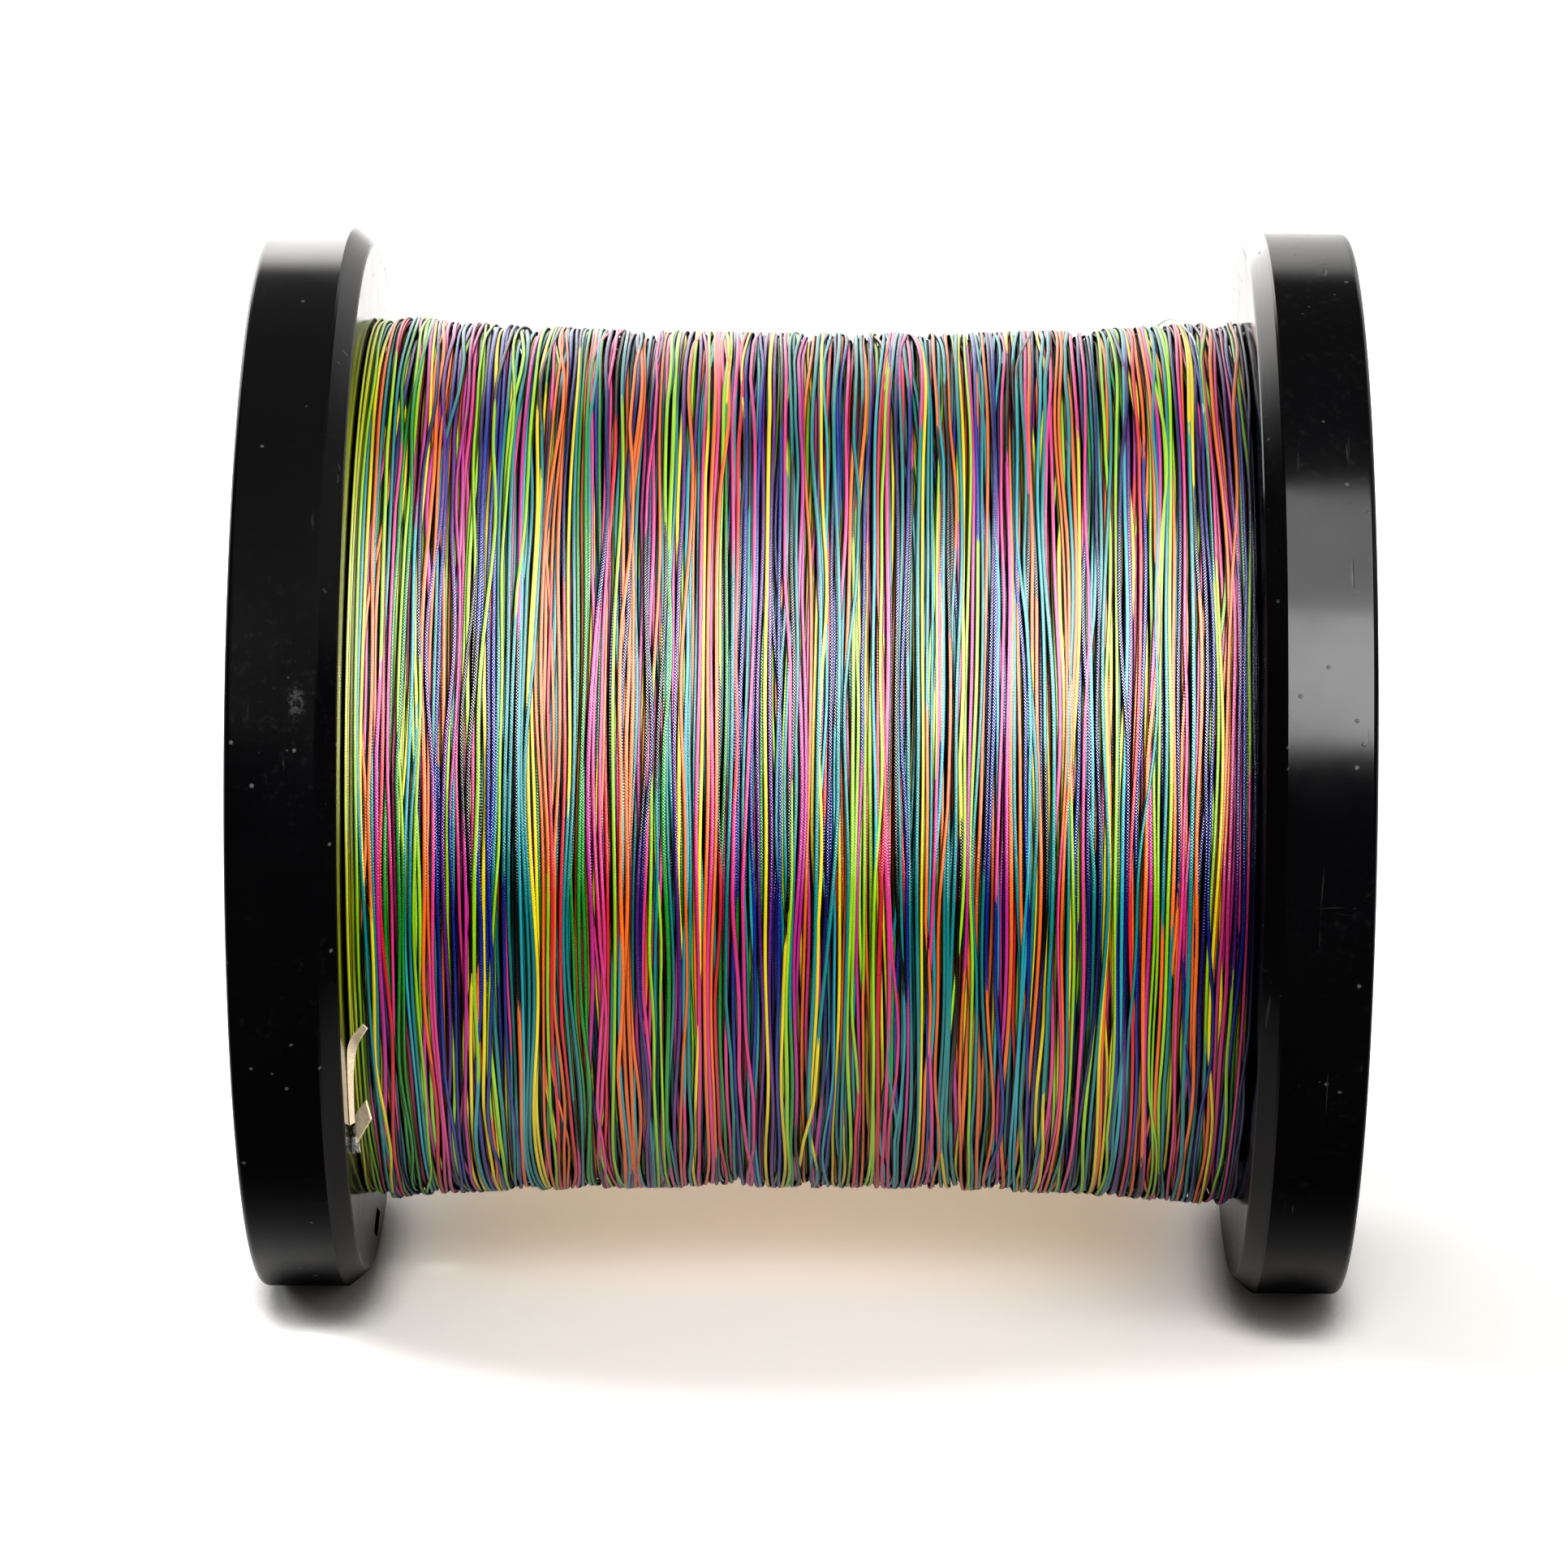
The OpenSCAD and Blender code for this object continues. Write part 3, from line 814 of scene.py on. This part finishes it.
def make_line_end(braid, fibre):
    """The stalk of line below the tape, and its tuft: fibres that spread and curl from the stalk's end."""
    base = WOUND_HIGH[2]
    drops = np.linspace(34.4, 37.4, 14)
    path = at_drop(drops, np.linspace(base + 2.8, base + 2.4, 14), -50.58 + 0.04 * np.sin(4 * drops))
    stalk = round_line("line_stalk", path, at_drop(drops, 1.0, 0.0), 0.26, braid, "line_end")
    paint_line(stalk, (64, 62, 26), (50, 52, 30))
    fibres, steps, sides = 90, 12, 3
    t = np.linspace(0, 1, steps)[None, :]
    spin = rng.uniform(0, TURN, fibres)[:, None]
    spread = (0.66 * np.sqrt(rng.uniform(0, 1, fibres)))[:, None]
    curl = rng.uniform(0.05, 0.35, fibres)[:, None]
    swirl = rng.uniform(2, 6, fibres)[:, None] * t + spin
    long = rng.uniform(1.6, 3.0, fibres)[:, None]
    opening = smooth_step(t * 1.5) * (1 - 0.2 * t)
    side = -50.6 + 0.12 * np.cos(spin) + spread * opening * np.cos(spin) + curl * t * np.cos(swirl)
    side = np.maximum(side, -FACE_X + 0.06)
    lift = base + 3.0 + 0.12 * np.sin(spin) + 0.8 * spread * opening * np.sin(spin) + curl * t * np.sin(swirl)
    lift = np.maximum(lift, base + 0.1)
    down = 36.6 + np.degrees(long * t / base)
    centre = at_drop(down, lift, side)
    section = np.linspace(0, TURN, sides, endpoint=False)
    outward = at_drop(down, 1.0, 0.0)
    parts, faces = [], []
    for number in range(fibres):
        tube = tube_along(centre[number], outward[number], 0.05, 0.05, section)
        faces.append(grid_faces(steps, sides, close_columns=True, start=number * steps * sides))
        parts.append(tube.reshape(-1, 3))
    make_piece("frayed_tuft", np.concatenate(parts), np.concatenate(faces), fibre,
               node="frayed_tip")


def make_stray_loop(braid):
    """A slack turn: a thin arch on top near the right flange that runs down the front as a slanting
    strand. A row holds the drop, the height of the middle over the wound surface, and x."""
    rows = curve_through([(-114, -0.7, 40.4), (-107, 0.1, 41.2), (-103, 0.65, 42.0), (-100, 0.85, 42.8),
                          (-97, 0.6, 43.6), (-92, 0.2, 44.2), (-86, 0.22, 44.8), (-78, 0.2, 45.1),
                          (-66, 0.2, 45.2), (-52, 0.2, 45.5), (-40, 0.1, 45.7), (-30, -0.5, 45.8)], 110)
    path = at_drop(rows[:, 0], wound_radius(rows[:, 2]) + rows[:, 1], rows[:, 2])
    outward = at_drop(rows[:, 0], 1.0, 0.0)
    loop = round_line("stray_loop_line", path, outward, 0.13, braid, "stray_loop")
    # Teal line, painted near white at its upper end as a painted highlight of the light from behind, fading to
    # teal down the front.
    paint_line(loop, (225, 235, 240), (0, 150, 150))


# ---------------------------------------------------------------- studio

def make_floor(material):
    """A flat square floor that the rims stand on."""
    half = 4.0
    mesh = bpy.data.meshes.new("floor")
    corners = [(-half, -half, FLOOR_Z), (half, -half, FLOOR_Z), (half, half, FLOOR_Z), (-half, half, FLOOR_Z)]
    mesh.from_pydata(corners, [], [(0, 1, 2, 3)])
    floor = add_object("floor", mesh)
    mesh.materials.append(material)
    return floor


def soft_box(name, place, power, wide, high, aim=(0, 0, 0)):
    """A rectangular light at a place, turned to a point."""
    lamp = bpy.data.lights.new(name, "AREA")
    lamp.shape = "RECTANGLE"
    lamp.size, lamp.size_y, lamp.energy = wide, high, power
    holder = add_object(name, lamp)
    place = Vector(place)
    turn = (Vector(aim) - place).to_track_quat("-Z", "Y").to_matrix().to_4x4()
    holder.matrix_world = Matrix.Translation(place) @ turn
    return holder


def make_world():
    """White to the camera. As light it is bright low down at the back, dim above, brighter far to the
    right, and dark low down in front and on the left."""
    world = bpy.data.worlds.new("studio")
    bpy.context.scene.world = world
    world.use_nodes = True
    tree = Tree(world.node_tree)
    way = tree.split(tree.add("ShaderNodeTexCoord").outputs["Generated"])
    behind = tree.remap(way[1], 0.3, 0.6)
    low = tree.remap(way[2], 0.48, 0.62, 1.0, 0.0)
    above = tree.remap(way[2], 0.2, 0.4, 0.004, 0.27)
    from_right = tree.remap(way[0], 0.5, 0.8, 1.0, 4.0)
    from_left = tree.remap(way[0], -0.7, -0.3, 0.3, 1.0)
    strength = tree.math("ADD", tree.times(above, from_right, from_left), tree.times(behind, low, 2.4))
    strength = tree.times(strength, tree.remap(way[0], -0.10, 0.12, 1.0, 0.33))
    camera_ray = tree.add("ShaderNodeLightPath").outputs["Is Camera Ray"]
    light = tree.add("ShaderNodeBackground", {"Color": (1, 0.985, 0.97, 1), "Strength": strength})
    plain = tree.add("ShaderNodeBackground", {"Color": (1, 1, 1, 1), "Strength": 1.0})
    mixed = tree.add("ShaderNodeMixShader", {0: camera_ray, 1: light.outputs[0], 2: plain.outputs[0]})
    tree.add("ShaderNodeOutputWorld", {"Surface": mixed.outputs[0]})


def make_lights(floor):
    """Two abutting soft boxes in front on the right, kept off the floor as if flagged; a low warm wash
    and a soft sun from the left for the floor."""
    boxes, floor_only = (bpy.data.collections.new(name) for name in ("flagged_off_the_floor", "floor_only"))
    for group, state in ((boxes, "EXCLUDE"), (floor_only, "INCLUDE")):
        group.objects.link(floor)
        group.collection_objects[0].light_linking.link_state = state
    rise, wide, high, to_right = math.radians(46), 0.70, 0.53, 0.40
    out, up = Vector((0, -math.cos(rise), math.sin(rise))), Vector((0, math.sin(rise), math.cos(rise)))
    for name, way, power in (("front_low_box", -1, 9.4), ("front_high_box", 1, 4.6)):
        middle = Vector((to_right, 0, 0)) + way * high / 2 * up
        box = soft_box(name, middle + out, power, wide, high, aim=middle)
        box.light_linking.receiver_collection = boxes
    wash = soft_box("floor_wash", (0.3, -1.0, 0.45), 10, 1.2, 0.6)
    wash.data.color = (1.0, 0.965, 0.93)
    wash.light_linking.receiver_collection = floor_only
    sun = bpy.data.lights.new("left_sun", "SUN")
    sun.energy, sun.angle = 1.5, math.radians(25)
    holder = add_object("left_sun", sun)
    holder.matrix_world = Vector((0.75, 0.05, -0.6)).to_track_quat("-Z", "Y").to_matrix().to_4x4()
    holder.light_linking.receiver_collection = floor_only


# ---------------------------------------------------------------- the scene

make_camera()
bpy.context.scene.view_settings.view_transform = "Standard"
bpy.context.scene.view_settings.look = "High Contrast"

wear_group = make_plastic_wear()
flange_plastic = make_flange_plastic(wear_group)
tube_plastic = make_barrel_plastic(wear_group)
braid_line = make_braid(make_braid_pattern())
tape_paper = make_tape()

for node_name, finish in (("left_flange", flange_plastic), ("right_flange", flange_plastic),
                          ("barrel", tube_plastic), ("axle_tube", tube_plastic),
                          ("inner_winding", make_deep_line()), ("start_tape", tape_paper)):
    node_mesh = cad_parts[node_name].data
    node_mesh.materials.clear()
    node_mesh.materials.append(finish)

make_wound_line(braid_line)
make_end_tape(tape_paper)
make_line_end(braid_line, make_fibre())
make_stray_loop(braid_line)

make_world()
make_lights(make_floor(make_floor_white()))
